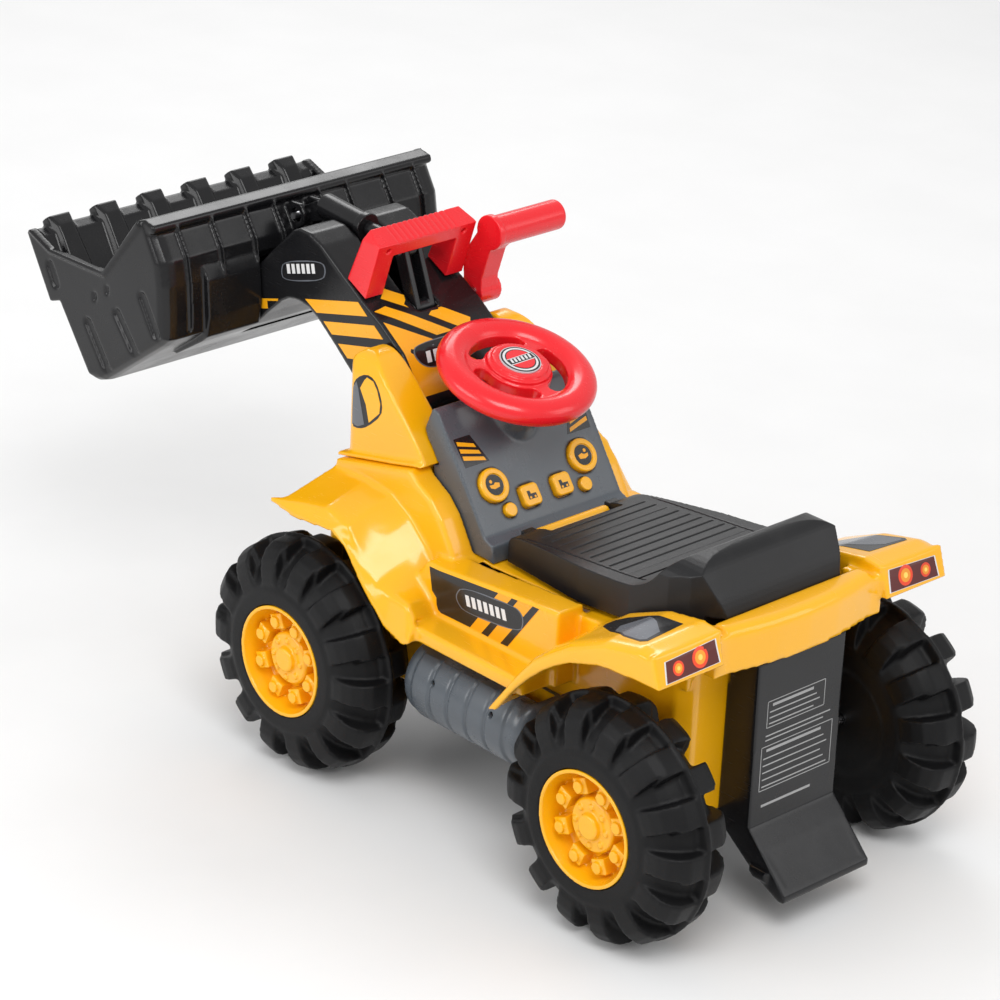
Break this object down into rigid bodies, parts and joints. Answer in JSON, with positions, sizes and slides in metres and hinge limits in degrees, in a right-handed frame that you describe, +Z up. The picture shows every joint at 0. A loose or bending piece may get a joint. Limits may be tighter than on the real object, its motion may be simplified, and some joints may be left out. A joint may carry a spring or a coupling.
{
  "type": "ride on digger",
  "caption": "Toddler ride-on front loader with lifting arm, crank-tilted bucket, spinning wheels, steering wheel, push buttons and storage under the seat lid.",
  "frame": {"origin": "on the floor under the middle of the whole toy's bounding box, at its rest pose", "axes": "+X towards the bucket, +Y towards the rider's left, +Z up"},
  "size_m": [0.8654, 0.373, 0.4507],
  "materials": {
    "yellow_plastic": "glossy moulded yellow",
    "red_plastic": "glossy moulded red",
    "black_plastic": "glossy moulded black",
    "seat_plastic": "grained moulded black",
    "tyre_plastic": "blow-moulded textured black",
    "grey_plastic": "satin dark grey",
    "steel": "plain drawn steel",
    "board": "green solder mask",
    "keypad_rubber": "pale silicone",
    "cell": "printed cell sleeve",
    "badge": "silvered disc"
  },
  "bodies": {
    "chassis": {"body_shell": "yellow_plastic", "front_tower": "yellow_plastic", "underbody": "black_plastic", "underbody_screws": "steel", "rear_stopper": "black_plastic", "tank_left": "grey_plastic", "tank_right": "grey_plastic", "dashboard": "grey_plastic", "battery_box": "black_plastic", "battery_door": "black_plastic", "batteries": "cell", "circuit_board": "board", "speaker": "black_plastic", "keypad": "keypad_rubber", "axle_front": "steel", "axle_rear": "steel", "axle_push_nuts": "steel", "arm_pivot_pin": "steel", "seat_hinge_pin": "steel"},
    "wheel_front_left": {"tyre_front_left": "tyre_plastic", "hubcap_front_left": "yellow_plastic"},
    "wheel_front_right": {"tyre_front_right": "tyre_plastic", "hubcap_front_right": "yellow_plastic"},
    "wheel_rear_left": {"tyre_rear_left": "tyre_plastic", "hubcap_rear_left": "yellow_plastic"},
    "wheel_rear_right": {"tyre_rear_right": "tyre_plastic", "hubcap_rear_right": "yellow_plastic"},
    "steering": {"steering_wheel": "red_plastic", "steering_badge": "badge", "steering_shaft": "steel"},
    "seat_lid": {"seat": "seat_plastic"},
    "arm": {"arm_shell": "black_plastic", "bucket_pivot_pin": "steel", "lift_handle": "red_plastic", "handle_screws": "steel"},
    "crank": {"crank_handle": "red_plastic", "crank_shaft": "steel", "crank_lever": "black_plastic", "lever_pin": "steel"},
    "link": {"tie_rod": "black_plastic", "tie_rod_sleeve": "black_plastic", "bucket_link_pin": "steel"},
    "bucket_body": {"bucket": "black_plastic"},
    "press_round_left": {"button_round_left": "yellow_plastic"},
    "press_round_right": {"button_round_right": "yellow_plastic"},
    "press_square_left": {"button_square_left": "yellow_plastic"},
    "press_square_right": {"button_square_right": "yellow_plastic"},
    "press_small_left": {"button_small_left": "yellow_plastic"},
    "press_small_right": {"button_small_right": "yellow_plastic"}
  },
  "joints": [
    {"name": "spin_front_left", "type": "hinge", "parent": "chassis", "child": "wheel_front_left", "pos_m": [0.04325, 0.15, 0.105], "axis": [0, 1, 0], "continuous": true},
    {"name": "spin_front_right", "type": "hinge", "parent": "chassis", "child": "wheel_front_right", "pos_m": [0.04325, -0.15, 0.105], "axis": [0, 1, 0], "continuous": true},
    {"name": "spin_rear_left", "type": "hinge", "parent": "chassis", "child": "wheel_rear_left", "pos_m": [-0.32775, 0.15, 0.105], "axis": [0, 1, 0], "continuous": true},
    {"name": "spin_rear_right", "type": "hinge", "parent": "chassis", "child": "wheel_rear_right", "pos_m": [-0.32775, -0.15, 0.105], "axis": [0, 1, 0], "continuous": true},
    {"name": "steering_turn", "type": "hinge", "parent": "chassis", "child": "steering", "pos_m": [-0.03825, 0, 0.3526], "axis": [-0.284, 0, 0.9588], "continuous": true},
    {"name": "seat_lift", "type": "hinge", "parent": "chassis", "child": "seat_lid", "pos_m": [-0.11375, 0, 0.24], "axis": [0, 1, 0], "range_deg": [0, 66]},
    {"name": "arm_lift", "type": "hinge", "parent": "chassis", "child": "arm", "pos_m": [0.03725, 0, 0.3], "axis": [0, -1, 0], "range_deg": [-52, 18]},
    {"name": "crank_turn", "type": "hinge", "parent": "arm", "child": "crank", "pos_m": [0.08325, 0, 0.373], "axis": [0, 1, 0], "range_deg": [-10, 30]},
    {"name": "link_swing", "type": "hinge", "parent": "crank", "child": "link", "pos_m": [0.10225, 0, 0.42], "axis": [0, 1, 0], "range_deg": [-40, 14]},
    {"name": "bucket_tilt", "type": "hinge", "parent": "arm", "child": "bucket_body", "pos_m": [0.26625, 0, 0.338], "axis": [0, 1, 0], "range_deg": [-7, 18]},
    {"name": "press_round_left", "type": "slide", "parent": "chassis", "child": "press_round_left", "axis": [0.7958, 0, -0.6056], "range_m": [0, 0.0015], "stiffness_N_per_m": 350, "springref_m": -0.0012},
    {"name": "press_round_right", "type": "slide", "parent": "chassis", "child": "press_round_right", "axis": [0.7958, 0, -0.6056], "range_m": [0, 0.0015], "stiffness_N_per_m": 350, "springref_m": -0.0012},
    {"name": "press_square_left", "type": "slide", "parent": "chassis", "child": "press_square_left", "axis": [0.7958, 0, -0.6056], "range_m": [0, 0.0015], "stiffness_N_per_m": 350, "springref_m": -0.0012},
    {"name": "press_square_right", "type": "slide", "parent": "chassis", "child": "press_square_right", "axis": [0.7958, 0, -0.6056], "range_m": [0, 0.0015], "stiffness_N_per_m": 350, "springref_m": -0.0012},
    {"name": "press_small_left", "type": "slide", "parent": "chassis", "child": "press_small_left", "axis": [0.7958, 0, -0.6056], "range_m": [0, 0.0015], "stiffness_N_per_m": 350, "springref_m": -0.0012},
    {"name": "press_small_right", "type": "slide", "parent": "chassis", "child": "press_small_right", "axis": [0.7958, 0, -0.6056], "range_m": [0, 0.0015], "stiffness_N_per_m": 350, "springref_m": -0.0012}
  ],
  "couplings": [
    {"joint": "link_swing", "follows": "crank_turn", "ratio": -1.2898},
    {"joint": "bucket_tilt", "follows": "crank_turn", "ratio": 0.53265}
  ]
}
